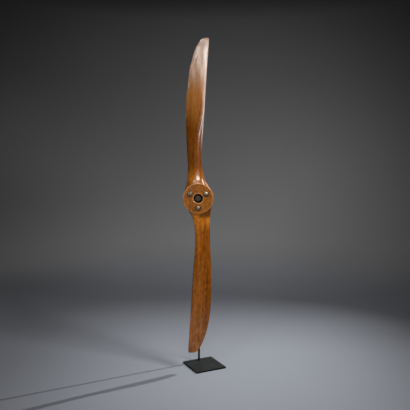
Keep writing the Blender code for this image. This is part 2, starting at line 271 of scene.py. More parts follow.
def paint(mesh: bpy.types.Mesh, name: str, values: Array) -> None:
    """Store one number a vertex under a name that materials can read.

    Args:
        mesh: The mesh.
        name: Name of the attribute.
        values: The numbers; vertices past their end, such as end caps, get zero.
    """
    numbers = np.zeros(len(mesh.vertices), np.float32)
    numbers[: values.size] = np.clip(values, 0.0, 1.0).ravel()
    mesh.attributes.new(name, "FLOAT", "POINT").data.foreach_set("value", numbers)


def place_piece(
    name: str, mesh: bpy.types.Mesh, finish: bpy.types.Material, slot: Slot, *nodes: str
) -> bpy.types.Object:
    """Put a piece in the scene in place of the plain solids it stands for.

    Args:
        name: Name of the piece.
        mesh: Its mesh, already in place.
        finish: Its material.
        slot: The record's slot for that finish; not used.
        *nodes: The solids it replaces.

    Returns:
        The object.
    """
    mesh.materials.append(finish)
    piece = bpy.data.objects.new(name, mesh)
    bpy.context.scene.collection.objects.link(piece)
    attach(piece, BODY)
    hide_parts(*nodes)
    log.info("%s: %d faces, stands for %s", name, len(mesh.polygons), ", ".join(nodes))
    return piece


# Finishes


class Sheet:
    """A material's node tree, with short calls to add nodes and join them."""

    def __init__(self, name: str) -> None:
        """Start an empty material.

        Args:
            name: Name of the material.
        """
        self.material = bpy.data.materials.new(name)
        self.material.use_nodes = True
        self.tree = self.material.node_tree
        self.shader = self.tree.nodes["Principled BSDF"]
        self.place = self.add("ShaderNodeTexCoord").outputs["Object"]

    def put(self, socket: bpy.types.NodeSocket, value: Any) -> None:
        """Join a socket to another one, or set it to a number, vector or colour."""
        if isinstance(value, bpy.types.NodeSocket):
            self.tree.links.new(value, socket)
        elif socket.type == "RGBA" and len(value) == 3:
            socket.default_value = (*value, 1.0)
        else:
            socket.default_value = value

    def add(self, kind: str, inputs: dict | None = None, **settings: Any) -> bpy.types.Node:
        """Add a node.

        Args:
            kind: Blender's name for the kind of node.
            inputs: What each input is joined or set to.
            **settings: The node's own settings.

        Returns:
            The node.
        """
        node = self.tree.nodes.new(kind)
        for name, value in settings.items():
            setattr(node, name, value)
        for name, value in (inputs or {}).items():
            self.put(node.inputs[name], value)
        return node

    def sum(self, operation: str, *values: Any) -> bpy.types.NodeSocket:
        """One step of arithmetic on numbers, such as MULTIPLY or ADD."""
        return self.add(
            "ShaderNodeMath", dict(enumerate(values)), operation=operation
        ).outputs[0]

    def mix(self, share: Any, first: Any, second: Any, blend: str = "MIX") -> bpy.types.NodeSocket:
        """The first colour with a share of the second laid over it."""
        node = self.add("ShaderNodeMix", data_type="RGBA", blend_type=blend)
        self.put(node.inputs["Factor"], share)
        self.put(node.inputs[6], first)
        self.put(node.inputs[7], second)
        return node.outputs[2]

    def ramp(self, value: Any, *stops: tuple[float, Any]) -> bpy.types.NodeSocket:
        """A number turned into a colour or grey by stops along a ramp.

        Args:
            value: The number.
            *stops: Positions with the grey or colour there.

        Returns:
            The colour.
        """
        node = self.add("ShaderNodeValToRGB", {"Fac": value})
        elements = node.color_ramp.elements
        while len(elements) < len(stops):
            elements.new(0.5)
        for element, (position, shade) in zip(elements, stops):
            element.position = position
            colour = (shade,) * 3 if isinstance(shade, (int, float)) else shade
            element.color = (*colour, 1.0)
        return node.outputs["Color"]

    def stretched(self, scale: Colour, place: Any = None) -> bpy.types.NodeSocket:
        """Object coordinates multiplied by a number along each axis."""
        source = self.place if place is None else place
        return self.add("ShaderNodeMapping", {"Vector": source, "Scale": scale}).outputs[0]

    def noise(self, place: Any, scale: float, detail: float = 2.0, rough: float = 0.5) -> Any:
        """Soft noise between 0 and 1."""
        return self.add(
            "ShaderNodeTexNoise",
            {"Vector": place, "Scale": scale, "Detail": detail, "Roughness": rough},
        ).outputs["Fac"]

    def mark(self, name: str) -> bpy.types.NodeSocket:
        """A number painted on the mesh."""
        return self.add("ShaderNodeAttribute", attribute_name=name).outputs["Fac"]

    def bump(self, height: Any, depth: float, normal: Any = None) -> bpy.types.NodeSocket:
        """Shading normals over a relief of the given depth in metres."""
        inputs = {"Height": height, "Strength": 1.0, "Distance": depth}
        if normal is not None:
            inputs["Normal"] = normal
        return self.add("ShaderNodeBump", inputs).outputs["Normal"]

    def finish(self, **sockets: Any) -> bpy.types.Material:
        """Join or set the shader's own sockets, named with underscores for spaces.

        Args:
            **sockets: What each socket is joined or set to.

        Returns:
            The material.
        """
        for name, value in sockets.items():
            self.put(self.shader.inputs[name.replace("_", " ")], value)
        return self.material


@dataclass(frozen=True)
class VarnishedWood:
    """Straight-grained boards glued face to face under old amber varnish."""

    front: float
    board: float
    light: Colour = (0.60, 0.225, 0.026)
    orange: Colour = (0.60, 0.185, 0.014)
    middle: Colour = (0.42, 0.134, 0.009)
    dark: Colour = (0.19, 0.050, 0.004)
    deep: Colour = (0.43, 0.37, 0.30)
    sheen_colour: Colour = (0.58, 0.50, 0.45)
    bare: Colour = (0.46, 0.30, 0.17)
    glue: Colour = (0.035, 0.012, 0.004)
    grime_and_shade: Colour = (0.045, 0.020, 0.008)

    def material(self) -> bpy.types.Material:
        """Grain along the blades, a tone for each board, glue lines, wear and bare chips."""
        s = Sheet("varnished_wood")
        x, y, z = self._parts(s)
        count = s.sum("DIVIDE", s.sum("SUBTRACT", y, self.front), self.board)
        index = s.sum("FLOOR", count)
        tone = s.add("ShaderNodeTexWhiteNoise", {"W": index}, noise_dimensions="1D").outputs["Value"]
        shifted = s.add(
            "ShaderNodeCombineXYZ",
            {"X": s.sum("MULTIPLY_ADD", tone, 1.7, x), "Y": y, "Z": s.sum("MULTIPLY_ADD", tone, 9.1, z)},
        ).outputs[0]
        figure = s.add(
            "ShaderNodeTexWave",
            {
                "Vector": s.stretched((1.0, 0.35, 0.055), shifted),
                "Scale": 11.0,
                "Distortion": 5.0,
                "Detail": 3.0,
                "Detail Scale": 1.6,
                "Detail Roughness": 0.62,
            },
        ).outputs["Fac"]
        fibres = s.noise(s.stretched((260.0, 260.0, 5.0), shifted), 1.0, 4.0, 0.62)
        pores = s.ramp(s.noise(s.stretched((1500.0, 1500.0, 42.0), shifted), 1.0), (0.60, 0.0), (0.70, 1.0))
        clouds = s.noise(s.stretched((9.0, 9.0, 3.0)), 1.0, 3.0)
        # Fresh orange wood: the hub face's own colour, and painted light on the left side of the lower blade root.
        fresh_and_lit = s.sum("MULTIPLY", s.mark("fresh_and_lit"), s.ramp(s.noise(s.stretched((62.0, 62.0, 62.0)), 1.0, 3.0, 0.6), (0.45, 0.0), (0.57, 1.0)))
        level = s.sum("MULTIPLY_ADD", figure, 0.13, s.sum("MULTIPLY_ADD", fibres, 0.34, -0.04))
        level = s.sum("MULTIPLY_ADD", tone, 0.12, level)
        patches = s.noise(s.stretched((64.0, 64.0, 34.0)), 1.0, 3.0, 0.6)
        level = s.sum("MULTIPLY_ADD", clouds, 0.40, level)
        level = s.sum("MULTIPLY_ADD", s.sum("SUBTRACT", patches, 0.5), 0.80, level)
        wood = s.ramp(level, (0.16, self.dark), (0.48, self.middle), (0.82, self.light))
        wood = s.mix(fresh_and_lit, wood, self.orange)
        wood = s.mix(s.sum("MULTIPLY", pores, 0.45), wood, self.dark)
        joint = s.sum("ABSOLUTE", s.sum("SUBTRACT", s.sum("FRACT", count), 0.5))
        joint = s.ramp(joint, (0.470, 0.0), (0.492, 1.0))
        wood = s.mix(s.sum("MULTIPLY", joint, 0.55), wood, self.glue)
        # Darker varnish and painted shade: multiplies the wood by the deep tint, for varnish darkened along the
        # blades and for shade painted on the lower root.
        aged = s.sum("MULTIPLY", s.mark("aged"), s.sum("MULTIPLY_ADD", clouds, 0.4, 0.8))
        wood = s.mix(aged, wood, self.deep, "MULTIPLY")
        mottle = s.noise(s.stretched((110.0, 110.0, 45.0)), 1.0, 3.0, 0.6)
        # Painted sheen: a pale colour standing in for a large lamp's glare towards the upper blade's tip, and a
        # painted highlight along its nose.
        painted_sheen = s.sum("MULTIPLY", s.mark("painted_sheen"), s.ramp(mottle, (0.30, 0.60), (0.65, 1.0)))
        wood = s.mix(painted_sheen, wood, self.sheen_colour)
        # Grime and painted shade: darkens the wood where dirt sits and where shade is painted round the hub disc,
        # inside the bore and under the nuts.
        grime_and_shade = s.sum("MULTIPLY", s.mark("grime_and_shade"), s.ramp(clouds, (0.25, 0.6), (0.75, 1.0)))
        wood = s.mix(grime_and_shade, wood, self.grime_and_shade)
        # Paler rubbed wood: real wear, and painted light on the left side of the lower blade root.
        rubbed = s.sum("MULTIPLY", s.mark("rubbed"), s.ramp(fibres, (0.30, 0.35), (0.65, 1.0)))
        wood = s.mix(rubbed, wood, s.mix(0.5, self.light, self.bare))
        speck = s.noise(s.stretched((90.0, 90.0, 30.0)), 1.0, 5.0, 0.7)
        chipped = s.ramp(s.sum("ADD", s.mark("worn"), s.sum("MULTIPLY", speck, 0.5)), (0.52, 0.0), (0.70, 1.0))
        wood = s.mix(chipped, wood, self.bare)
        rough = s.sum("MULTIPLY_ADD", chipped, 0.30, s.sum("MULTIPLY_ADD", fibres, 0.16, 0.34))
        relief = s.sum("MULTIPLY_ADD", pores, -0.5, s.sum("MULTIPLY_ADD", joint, -0.7, fibres))
        under = s.bump(relief, 0.00012)
        coat = s.bump(s.noise(s.stretched((60.0, 60.0, 12.0)), 1.0, 3.0), 0.00025)
        cover = s.sum("MULTIPLY", s.sum("SUBTRACT", 1.0, s.sum("MULTIPLY", chipped, 0.9)), s.sum("SUBTRACT", 1.0, grime_and_shade))
        return s.finish(
            Base_Color=wood,
            Roughness=rough,
            Normal=under,
            Specular_IOR_Level=0.05,
            Coat_Weight=cover,
            Coat_Roughness=0.17,
            Coat_IOR=1.5,
            Coat_Normal=coat,
        )

    def _parts(self, s: Sheet) -> Any:
        """The three object coordinates as numbers."""
        return s.add("ShaderNodeSeparateXYZ", {"Vector": s.place}).outputs


@dataclass(frozen=True)
class AgedPlating:
    """Nickel-coloured plating gone dull and brown in patches."""

    name: str = "aged_plating"
    bright: Colour = (0.44, 0.38, 0.26)
    brown: Colour = (0.035, 0.022, 0.012)

    def material(self) -> bpy.types.Material:
        """Bright metal with tarnish in clouds and fine handling scratches."""
        s = Sheet(self.name)
        clouds = s.noise(s.stretched((120.0, 120.0, 120.0)), 1.0, 4.0, 0.65)
        lines = s.noise(s.stretched((2600.0, 500.0, 900.0)), 1.0)
        stain = s.ramp(clouds, (0.42, 0.0), (0.66, 1.0))
        colour = s.mix(stain, self.bright, self.brown)
        rough = s.sum("MULTIPLY_ADD", lines, 0.14, s.sum("MULTIPLY_ADD", stain, 0.26, 0.20))
        relief = s.bump(s.sum("MULTIPLY_ADD", clouds, 0.6, lines), 0.00004)
        return s.finish(Base_Color=colour, Roughness=rough, Metallic=1.0, Normal=relief)


@dataclass(frozen=True)
class BlackPaint:
    """Satin black paint on steel, with dust and painted light on faces that look up, rubs and a little orange peel.
    """

    name: str = "black_paint"
    paint: Colour = (0.003, 0.0035, 0.004)
    dust: Colour = (0.064, 0.066, 0.064)
    rough: float = 0.40
    side_dust_and_light: float = 0.04

    def material(self) -> bpy.types.Material:
        """Uneven satin black, lighter with dust and painted light on faces that look up and darker on the sides,
        with fine scratches and orange peel.
        """
        s = Sheet(self.name)
        clouds = s.noise(s.stretched((24.0, 24.0, 24.0)), 1.0, 5.0, 0.6)
        scratches = s.ramp(
            s.noise(s.stretched((900.0, 60.0, 300.0)), 1.0, 2.0, 0.4), (0.68, 0.0), (0.74, 1.0)
        )
        upwards = s.add("ShaderNodeSeparateXYZ", {"Vector": s.add("ShaderNodeNewGeometry").outputs["Normal"]})
        # Dust and painted shade: faces that look up take the pale dust colour, while the sides stay near the dark
        # paint as if in shade.
        lying = s.ramp(upwards.outputs["Z"], (0.30, self.side_dust_and_light), (0.90, 1.0))
        dust_and_top_light = s.sum("MULTIPLY", s.ramp(clouds, (0.30, 0.30), (0.75, 0.62)), lying)
        colour = s.mix(dust_and_top_light, self.paint, self.dust)
        colour = s.mix(s.sum("MULTIPLY", scratches, 0.25), colour, self.dust)
        rough = s.sum("MULTIPLY_ADD", clouds, 0.16, self.rough - 0.06)
        peel = s.noise(s.stretched((520.0, 520.0, 520.0)), 1.0, 1.0)
        return s.finish(
            Base_Color=colour, Roughness=rough, Normal=s.bump(peel, 0.00005), Specular_IOR_Level=0.12
        )


@dataclass(frozen=True)
class BlackedSteel:
    """Oil-blacked steel of the set screws and the foot screw."""

    steel: Colour = (0.075, 0.075, 0.080)
    bright: Colour = (0.30, 0.29, 0.27)

    def material(self) -> bpy.types.Material:
        """Dark metal, rubbed bright in specks."""
        s = Sheet("blacked_steel")
        specks = s.noise(s.stretched((700.0, 700.0, 700.0)), 1.0, 4.0, 0.6)
        rubs = s.ramp(specks, (0.58, 0.0), (0.72, 0.6))
        colour = s.mix(rubs, self.steel, self.bright)
        rough = s.sum("MULTIPLY_ADD", specks, 0.2, 0.28)
        return s.finish(
            Base_Color=colour, Roughness=rough, Metallic=0.9, Normal=s.bump(specks, 0.00003)
        )


@dataclass(frozen=True)
class StudioPaint:
    """Matt paint of the stage: a cool pale floor and a neutral wall, times a painted light falloff."""

    floor: Colour = (0.336, 0.353, 0.392)
    wall: Colour = (0.360, 0.360, 0.367)
    change: tuple[float, float] = (0.02, 0.30)

    def material(self) -> bpy.types.Material:
        """The two colours, joined by height, times the painted light falloff in the tone mark, with faint uneven
        brushing.
        """
        s = Sheet("studio_paint")
        height = s.add("ShaderNodeSeparateXYZ", {"Vector": s.place}).outputs["Z"]
        low, high = self.change
        rise = s.add(
            "ShaderNodeMapRange", {"Value": height, "From Min": low, "From Max": high}
        ).outputs["Result"]
        smear = s.noise(s.stretched((1.4, 1.4, 1.4)), 1.0, 3.0)
        # Painted light: the tone mark darkens the stage away from a pool of light round the object.
        tone = s.sum("MULTIPLY", s.mark("tone"), s.sum("MULTIPLY_ADD", smear, 0.06, 0.97))
        grey = s.add("ShaderNodeCombineXYZ", {"X": tone, "Y": tone, "Z": tone}).outputs[0]
        colour = s.mix(1.0, s.mix(rise, self.floor, self.wall), grey, "MULTIPLY")
        fine = s.bump(s.noise(s.stretched((160.0, 160.0, 160.0)), 1.0), 0.0002)
        return s.finish(Base_Color=colour, Roughness=0.75, Normal=fine, Specular_IOR_Level=0.3)


# The object


@dataclass(frozen=True)
class Places:
    """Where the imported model's main parts are."""

    hub: tuple[float, float, float]
    front: float
    rear: float
    rod: tuple[float, float]
    rod_bottom: float
    rod_top: float
    plate_top: float

    @classmethod
    def from_model(cls) -> "Places":
        """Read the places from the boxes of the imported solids."""
        low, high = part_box("flange")
        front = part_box("lamination_1")[0].y
        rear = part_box("lamination_7")[1].y
        rod_low, rod_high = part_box("rod")
        middle = (low + high) / 2
        rod = (rod_low + rod_high) / 2
        return cls(
            hub=(middle.x, (front + rear) / 2, middle.z),
            front=front,
            rear=rear,
            rod=(rod.x, rod.y),
            rod_bottom=rod_low.z,
            rod_top=rod_high.z,
            plate_top=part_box("base_plate")[1].z,
        )


@dataclass(frozen=True)
class BladeForm:
    """The blade's outline, depth, thickness and twist, and the sections they give.

    Rows of stations hold the radius, the leading and the trailing edge measured sideways from
    the hub's upright centre line, the front-to-back depth, and the thickness.
    """

    stations: tuple[tuple[float, ...], ...] = (
        (0.000, 0.0980, 0.0980, 0.1000, 0.100),
        (0.030, 0.0980, 0.0980, 0.1000, 0.100),
        (0.060, 0.0855, 0.0920, 0.0998, 0.099),
        (0.090, 0.0690, 0.0860, 0.0988, 0.094),
        (0.105, 0.0585, 0.0842, 0.0950, 0.088),
        (0.120, 0.0490, 0.0828, 0.0866, 0.080),
        (0.140, 0.0414, 0.0820, 0.0797, 0.073),
        (0.160, 0.0350, 0.0812, 0.0760, 0.066),
        (0.200, 0.0272, 0.0805, 0.0722, 0.058),
        (0.300, 0.0210, 0.0820, 0.0722, 0.046),
        (0.400, 0.0265, 0.0865, 0.0705, 0.036),
        (0.500, 0.0335, 0.0905, 0.0665, 0.029),
        (0.600, 0.0405, 0.0925, 0.0600, 0.0235),
        (0.700, 0.0460, 0.0910, 0.0525, 0.0195),
        (0.800, 0.0520, 0.0855, 0.0450, 0.016),
        (0.900, 0.0580, 0.0710, 0.0375, 0.013),
        (0.960, 0.0625, 0.0565, 0.0320, 0.011),
        (1.010, 0.0655, 0.0395, 0.0270, 0.0095),
        (1.050, 0.0680, 0.0210, 0.0215, 0.008),
        (1.080, 0.0690, 0.0015, 0.0160, 0.007),
        (1.094, 0.0672, -0.0120, 0.0115, 0.006),
        (1.100, 0.0630, -0.0290, 0.0080, 0.005),
    )
    pitch_advance: float = 1.50
    twist: tuple[float, float] = (0.05, 0.30)
    airfoil: tuple[float, float] = (0.10, 0.45)
    root_ease: tuple[float, float] = (0.00, 0.16)
    nose: tuple[float, float] = (0.30, 0.50)
    tail: tuple[float, float] = (0.30, 0.85)
    front_share: float = 0.90
    outer_share: float = 0.25
    flattening: tuple[float, float] = (0.30, 0.75)
    outer_nose: tuple[float, float, float] = (0.35, 0.70, 0.20)
    evening: float = 0.012
    tip_start: tuple[float, float] = (1.03, 1.07)

    @property
    def tip(self) -> float:
        """Radius of the blade's end."""
        return self.stations[-1][0]

    def columns(self, radii: Array) -> Array:
        """Leading edge, trailing edge, depth and thickness at each radius.

        A Hermite curve runs through the stations, its slopes taken from their neighbours,
        and is then evened out with a bell-shaped window, except near the tip.

        Args:
            radii: Distances from the hub's centre.

        Returns:
            Four rows, one a quantity.
        """
        table = np.array(self.stations)
        knots, values = table[:, 0], table[:, 1:]
        slopes = np.gradient(values, knots, axis=0)
        step = 0.0005
        fine = np.arange(0.0, self.tip + step / 2, step)
        k = np.clip(np.searchsorted(knots, fine) - 1, 0, len(knots) - 2)
        span = (knots[k + 1] - knots[k])[:, None]
        t = ((fine - knots[k])[:, None]) / span
        curve = (
            values[k] * (1 + 2 * t) * (1 - t) ** 2
            + values[k + 1] * t * t * (3 - 2 * t)
            + span * t * (1 - t) * (slopes[k] * (1 - t) - slopes[k + 1] * t)
        )
        half = int(3 * self.evening / step)
        window = np.exp(-0.5 * (np.arange(-half, half + 1) * step / self.evening) ** 2)
        window /= window.sum()
        keep = smooth_step(fine, *self.tip_start)
        rows = []
        for column in curve.T:
            even = np.convolve(np.pad(column, half, mode="edge"), window, mode="valid")
            rows.append(np.interp(radii, fine, even * (1 - keep) + column * keep))
        return np.array(rows)

    def sections(self, radii: Array, turn: Array, loss: Array) -> tuple[Array, Array]:
        """Points round the section at each radius: box-like at the hub, an airfoil outboard.

        Height over the chord is f^n (1-f)^t scaled to 1 at its peak, with f the share of the
        chord from the nose. It is split between front and back, turned by the pitch angle
        atan(advance / 2 pi r), and stretched to the outline and the depth.

        Args:
            radii: Distances from the hub's centre.
            turn: Angles round the section; 0 is the nose and the front comes first.
            loss: How far the trailing edge is worn away at each radius.

        Returns:
            Sideways and forwards distances, one row a radius.
        """
        leading, trailing, depth, thickness = self.columns(radii)[:, :, None]
        trailing = trailing - loss[:, None]
        radius = radii[:, None]
        angle = np.arctan(self.pitch_advance / (FULL_TURN * np.maximum(radius, self.twist[1])))
        angle = angle * smooth_step(radius, *self.twist)
        root_ease = smooth_step(radius, *self.root_ease)
        airfoil = smooth_step(radius, *self.airfoil)
        nose = self.nose[0] + (self.nose[1] - self.nose[0]) * root_ease
        start, full, blunt = self.outer_nose
        nose = nose + (blunt - nose) * smooth_step(radius, start, full)
        tail = self.tail[0] + (0.5 - self.tail[0]) * root_ease + (self.tail[1] - 0.5) * airfoil
        share = 0.5 + (self.front_share - 0.5) * airfoil
        share = share + (self.outer_share - share) * smooth_step(radius, *self.flattening)
        from_nose = (1 - np.cos(turn))[None, :] / 2
        peak = nose / (nose + tail)
        height = from_nose**nose * (1 - from_nose) ** tail / (peak**nose * (1 - peak) ** tail)
        offset = thickness * height * np.where(np.sin(turn) >= 0, share, share - 1.0)
        along = (leading + trailing) / np.cos(angle) * (0.5 - from_nose)
        sideways = along * np.cos(angle) - offset * np.sin(angle)
        forwards = along * np.sin(angle) + offset * np.cos(angle)
        return (
            self._fitted(sideways, -trailing, leading),
            self._fitted(forwards, -depth / 2, depth / 2),
        )

    def _fitted(self, values: Array, low: Array, high: Array) -> Array:
        """Each row shifted and stretched to run from low to high."""
        lowest = values.min(axis=1, keepdims=True)
        span = values.max(axis=1, keepdims=True) - lowest
        return low + (values - lowest) / span * (high - low)


@dataclass
class Propeller:
    """Two blades and the hub between them, carved from one stack of boards."""

    places: Places
    form: BladeForm = field(default_factory=BladeForm)
    hub_diameter: float = 0.210
    bore_diameter: float = 0.062
    stud_circle: float = 0.128
    washer_diameter: float = 0.038
    boards: int = 7
    edge_round: float = 0.0035
    root_radius: float = 0.045
    rings: int = 316
    hub_spacing: float = 0.0020
    points: int = 96
    hub_sides: int = 168
    tip_round: float = 0.0030
    tip_wear: float = 0.0055
    break_reach: float = 0.05
    loss: tuple[tuple[float, float], ...] = (
        (0.080, 0.0000),
        (0.140, 0.0045),
        (0.220, 0.0045),
        (0.340, 0.0005),
        (0.520, 0.0010),
        (0.620, 0.0040),
        (0.715, 0.0060),
        (0.755, 0.0105),
        (0.779, 0.0140),
        (0.787, 0.0115),
        (0.807, 0.0125),
        (0.861, 0.0105),
        (0.905, 0.0105),
        (0.945, 0.0125),
        (1.010, 0.0105),
        (1.050, 0.0100),
        (1.100, 0.0075),
    )
    chips: tuple[tuple[float, float, float], ...] = ((0.779, 0.020, 1.0), (0.910, 0.010, 0.8))
    ding: tuple[float, float, float, float] = (-0.0235, 0.944, 0.006, 0.027)
    ding_depth: float = 0.0011

    def build(self) -> bpy.types.Object:
        """Shape both blades and the hub, join them and varnish them."""
        parts = [self._blade(Side.UPPER), self._blade(Side.LOWER), self._hub()]
        mesh = parts[0]
        holder = [bpy.data.objects.new(f"part_{k}", part) for k, part in enumerate(parts)]
        for part in holder:
            bpy.context.scene.collection.objects.link(part)
        with bpy.context.temp_override(
            active_object=holder[0], selected_editable_objects=holder
        ):
            bpy.ops.object.join()
        mesh = holder[0].data
        bpy.data.objects.remove(holder[0])
        mesh.name = "propeller"
        span = self.places.rear - self.places.front
        finish = VarnishedWood(self.places.front, span / self.boards).material()
        nodes = [f"lamination_{k}" for k in range(1, self.boards + 1)]
        return place_piece("propeller", mesh, finish, Slot.WOOD, *nodes)

    def _radii(self) -> Array:
        """Radii of the rings: even, closer together at the break and towards the tip."""
        even = np.linspace(self.root_radius, self.form.tip - self.tip_round, self.rings)
        break_rings = np.arange(0.776, 0.794, 0.0015)
        close = np.linspace(0.0, math.pi / 2, 12)
        tip = self.form.tip - self.tip_round * (1 - np.sin(close))
        return np.unique(np.round(np.concatenate([even, break_rings, tip[1:-1]]), 6))

    def _blade(self, side: Side) -> bpy.types.Mesh:
        """One blade as rings of section points, rounded off at its tip.

        With q the way through the rounding, the last rings keep sqrt(1 - q^2) of their depth
        and draw in sideways by the rounding times 1 - sqrt(1 - q^2). Edge wear, breaks and the
        dent are moved in the rings themselves.
        """
        radii = self._radii()
        turn = FULL_TURN * np.arange(self.points) / self.points
        loss = np.zeros_like(radii)
        if side is Side.UPPER:
            knots, depths = np.array(self.loss).T
            loss = np.interp(radii, knots, depths, left=0.0)
            ragged = ripple(np.outer(radii, (0.0, 0.0, 1.0)), 0.006, 5)
            loss += 0.0009 * ragged * smooth_step(loss, 0.002, 0.010)
        dressed = self._evened_loss(radii) if side is Side.UPPER else loss
        sideways, forwards = self.form.sections(radii, turn, dressed)
        near_tail = smooth_step((1 - np.cos(turn))[None, :] / 2, 0.72, 1.0)
        sideways = sideways + (loss - dressed)[:, None] * near_tail
        start = self.form.tip - self.tip_round
        q = np.clip((radii - start) / self.tip_round, 0.0, 1.0)[:, None]
        keep = np.sqrt(1.0 - q * q * 0.995)
        widest, narrowest = sideways.max(1, keepdims=True), sideways.min(1, keepdims=True)
        middle, half = (widest + narrowest) / 2, (widest - narrowest) / 2
        sideways = middle + (sideways - middle) * (1.0 - self.tip_round * (1.0 - keep) / half)
        forwards = forwards.mean(1, keepdims=True) + keep * (forwards - forwards.mean(1, keepdims=True))
        reach = radii.copy()
        if side is Side.UPPER:
            reach -= self.tip_wear * smooth_step(radii, *self.form.tip_start)
        height = np.repeat(reach[:, None], self.points, axis=1)
        local = np.stack([side.value * sideways, -forwards, side.value * height], -1)
        hand_work = ripple(local * (1.0, 1.0, 0.35), 0.060, 11) * smooth_step(height, 0.10, 0.20)
        local[..., 1] += 0.00035 * hand_work * smooth_step(self.form.tip - height, 0.004, 0.06)
        from_nose = ((1 - np.cos(turn)) / 2)[None, :]
        front = (np.sin(turn) > 0)[None, :]
        dent = np.zeros_like(height)
        if side is Side.UPPER:
            x, z, across, up = self.ding
            lean = (local[..., 0] - x - 0.35 * (height - z)) / across
            dent = np.exp(-(lean**2) - ((height - z) / up) ** 2) * front
            local[..., 1] += self.ding_depth * dent
        mesh = ring_mesh("blade", local + np.array(self.places.hub), Ends.CAPPED)
        self._paint_blade(mesh, side, local, from_nose, dent)
        return mesh

    def _evened_loss(self, radii: Array) -> Array:
        """The edge loss without its breaks: the mean of the table over a short stretch."""
        knots, depths = np.array(self.loss).T
        offsets = np.linspace(-self.break_reach, self.break_reach, 17)
        return np.mean([np.interp(radii + step, knots, depths, left=0.0) for step in offsets], axis=0)

    def _paint_blade(
        self, mesh: bpy.types.Mesh, side: Side, local: Array, from_nose: Array, dent: Array
    ) -> None:
        """Mark where a blade's varnish is worn through, rubbed pale or grimy."""
        height = np.abs(local[..., 2])
        patchy = 0.5 + 0.5 * ripple(local, 0.05, 21)
        tail = smooth_step(from_nose, 0.985, 1.0)
        nose = smooth_step(from_nose, 0.012, 0.0) * smooth_step(height, 0.45, 1.0)
        tip = smooth_step(height, self.form.tip - 0.012, self.form.tip)
        worn = 0.34 * tail * patchy + 0.30 * nose * patchy + 0.35 * tip
        if side is Side.UPPER:
            for centre, reach, strength in self.chips:
                worn += strength * np.exp(-(((height - centre) / reach) ** 2)) * smooth_step(
                    from_nose, 0.90, 0.97
                )
            worn += 0.75 * dent
        rubbed = 0.30 * smooth_step(height, 0.75, 1.08) * patchy
        # Painted shade: a dark band on both blade roots just outside the hub disc.
        grime_and_shade = 0.60 * smooth_step(height, 0.128, 0.112) * (0.4 + 0.6 * patchy)
        aged = 0.95 * smooth_step(height, 0.12, 0.24) * (1 - 0.5 * smooth_step(height, 0.45, 0.72))
        painted_sheen = np.zeros_like(height)
        if side is Side.UPPER:
            # Painted highlight along the upper blade's nose, and a pale painted sheen towards its tip.
            edge = 1.0 * smooth_step(from_nose, 0.030, 0.012) * smooth_step(height, 0.30, 0.50)
            painted_sheen = np.maximum(0.68 * smooth_step(height, 0.70, 0.99), edge)
            rubbed = np.maximum(rubbed, 0.27 * smooth_step(height, 0.46, 0.72))
            flank = smooth_step(local[..., 0], 0.014, 0.034) * smooth_step(height, 0.22, 0.15)
            grime_and_shade = np.maximum(grime_and_shade, 0.50 * flank)
        else:
            # Painted shade: the right side of the lower blade root darkened, as if it turned away from the lamps.
            right = smooth_step(local[..., 0], -0.040, 0.045) * smooth_step(height, 0.15, 0.24)
            aged = 0.85 * smooth_step(height, 0.18, 0.50)
            aged = np.maximum(aged, right * (0.9 + 0.1 * patchy))
            # Painted shadow: the hub disc's lower edge shades the lower blade root just below it, laid in as darker
            # varnish and grime.
            below = smooth_step(height, 0.150, 0.112) * smooth_step(local[..., 0], -0.02, 0.03)
            aged = np.maximum(aged, below)
            grime_and_shade = np.maximum(grime_and_shade, 0.55 * below)
            # Painted light on the lower blade root's left side: paler and more orange, as if it faced the lamps.
            left = smooth_step(local[..., 0], -0.012, -0.040) * smooth_step(height, 0.45, 0.20)
            rubbed = np.maximum(rubbed, 0.30 * left)
        fresh_and_lit = np.zeros_like(height)
        if side is Side.LOWER:
            fresh_and_lit = 0.95 * smooth_step(local[..., 0], 0.012, -0.024) * smooth_step(height, 0.34, 0.20)
        for name, values in (
            ("worn", worn), ("rubbed", rubbed), ("grime_and_shade", grime_and_shade), ("aged", aged), ("painted_sheen", painted_sheen), ("fresh_and_lit", fresh_and_lit)
        ):
            paint(mesh, name, values)

    def _hub(self) -> bpy.types.Mesh:
        """The round hub: a softened rectangle, with the bore inside, swept about the axle."""
        half = (self.places.rear - self.places.front) / 2
        rim = self.hub_diameter / 2
        bore = self.bore_diameter / 2
        corners = np.array([(bore, -half), (rim, -half), (rim, half), (bore, half)])
        outline = softened(corners, self.edge_round, closed=True, steps=6)
        profile = self._filled(outline, self.hub_spacing)
        axle = Axle(self.places.hub)
        angle = FULL_TURN * np.arange(self.hub_sides) / self.hub_sides
        radius = np.repeat(profile[:, :1], self.hub_sides, axis=1)
        distance = np.repeat(profile[:, 1:], self.hub_sides, axis=1)
        rings = axle.points(radius, distance, angle)
        local = rings - np.array(self.places.hub)
        mesh = ring_mesh("hub", rings, Ends.JOINED)
        on_face = smooth_step(np.abs(distance), half - 0.002, half - 0.0004)
        patchy = 0.5 + 0.5 * ripple(local, 0.03, 31)
        ring = np.exp(-(((radius - bore - 0.005) / 0.0028) ** 2)) * on_face
        rim_mark = smooth_step(radius, rim - 0.008, rim - 0.002) * (0.35 + 0.65 * patchy)
        seats = self._distance_to_studs(local)
        # Round each washer a darker ring, dirt and painted shade in the crease; below it real stains spread out.
        seat = np.exp(-(((seats - self.washer_diameter / 2) / 0.0030) ** 2)) * on_face
        stain = smooth_step(seats, self.washer_diameter / 2 + 0.016, self.washer_diameter / 2) * on_face
        # Painted shade inside the bore.
        inside = smooth_step(radius, bore + 0.001, bore) * 0.9
        pale = 0.12 * smooth_step(local[..., 0], -0.03, -0.08) * on_face * (0.4 + 0.6 * patchy)
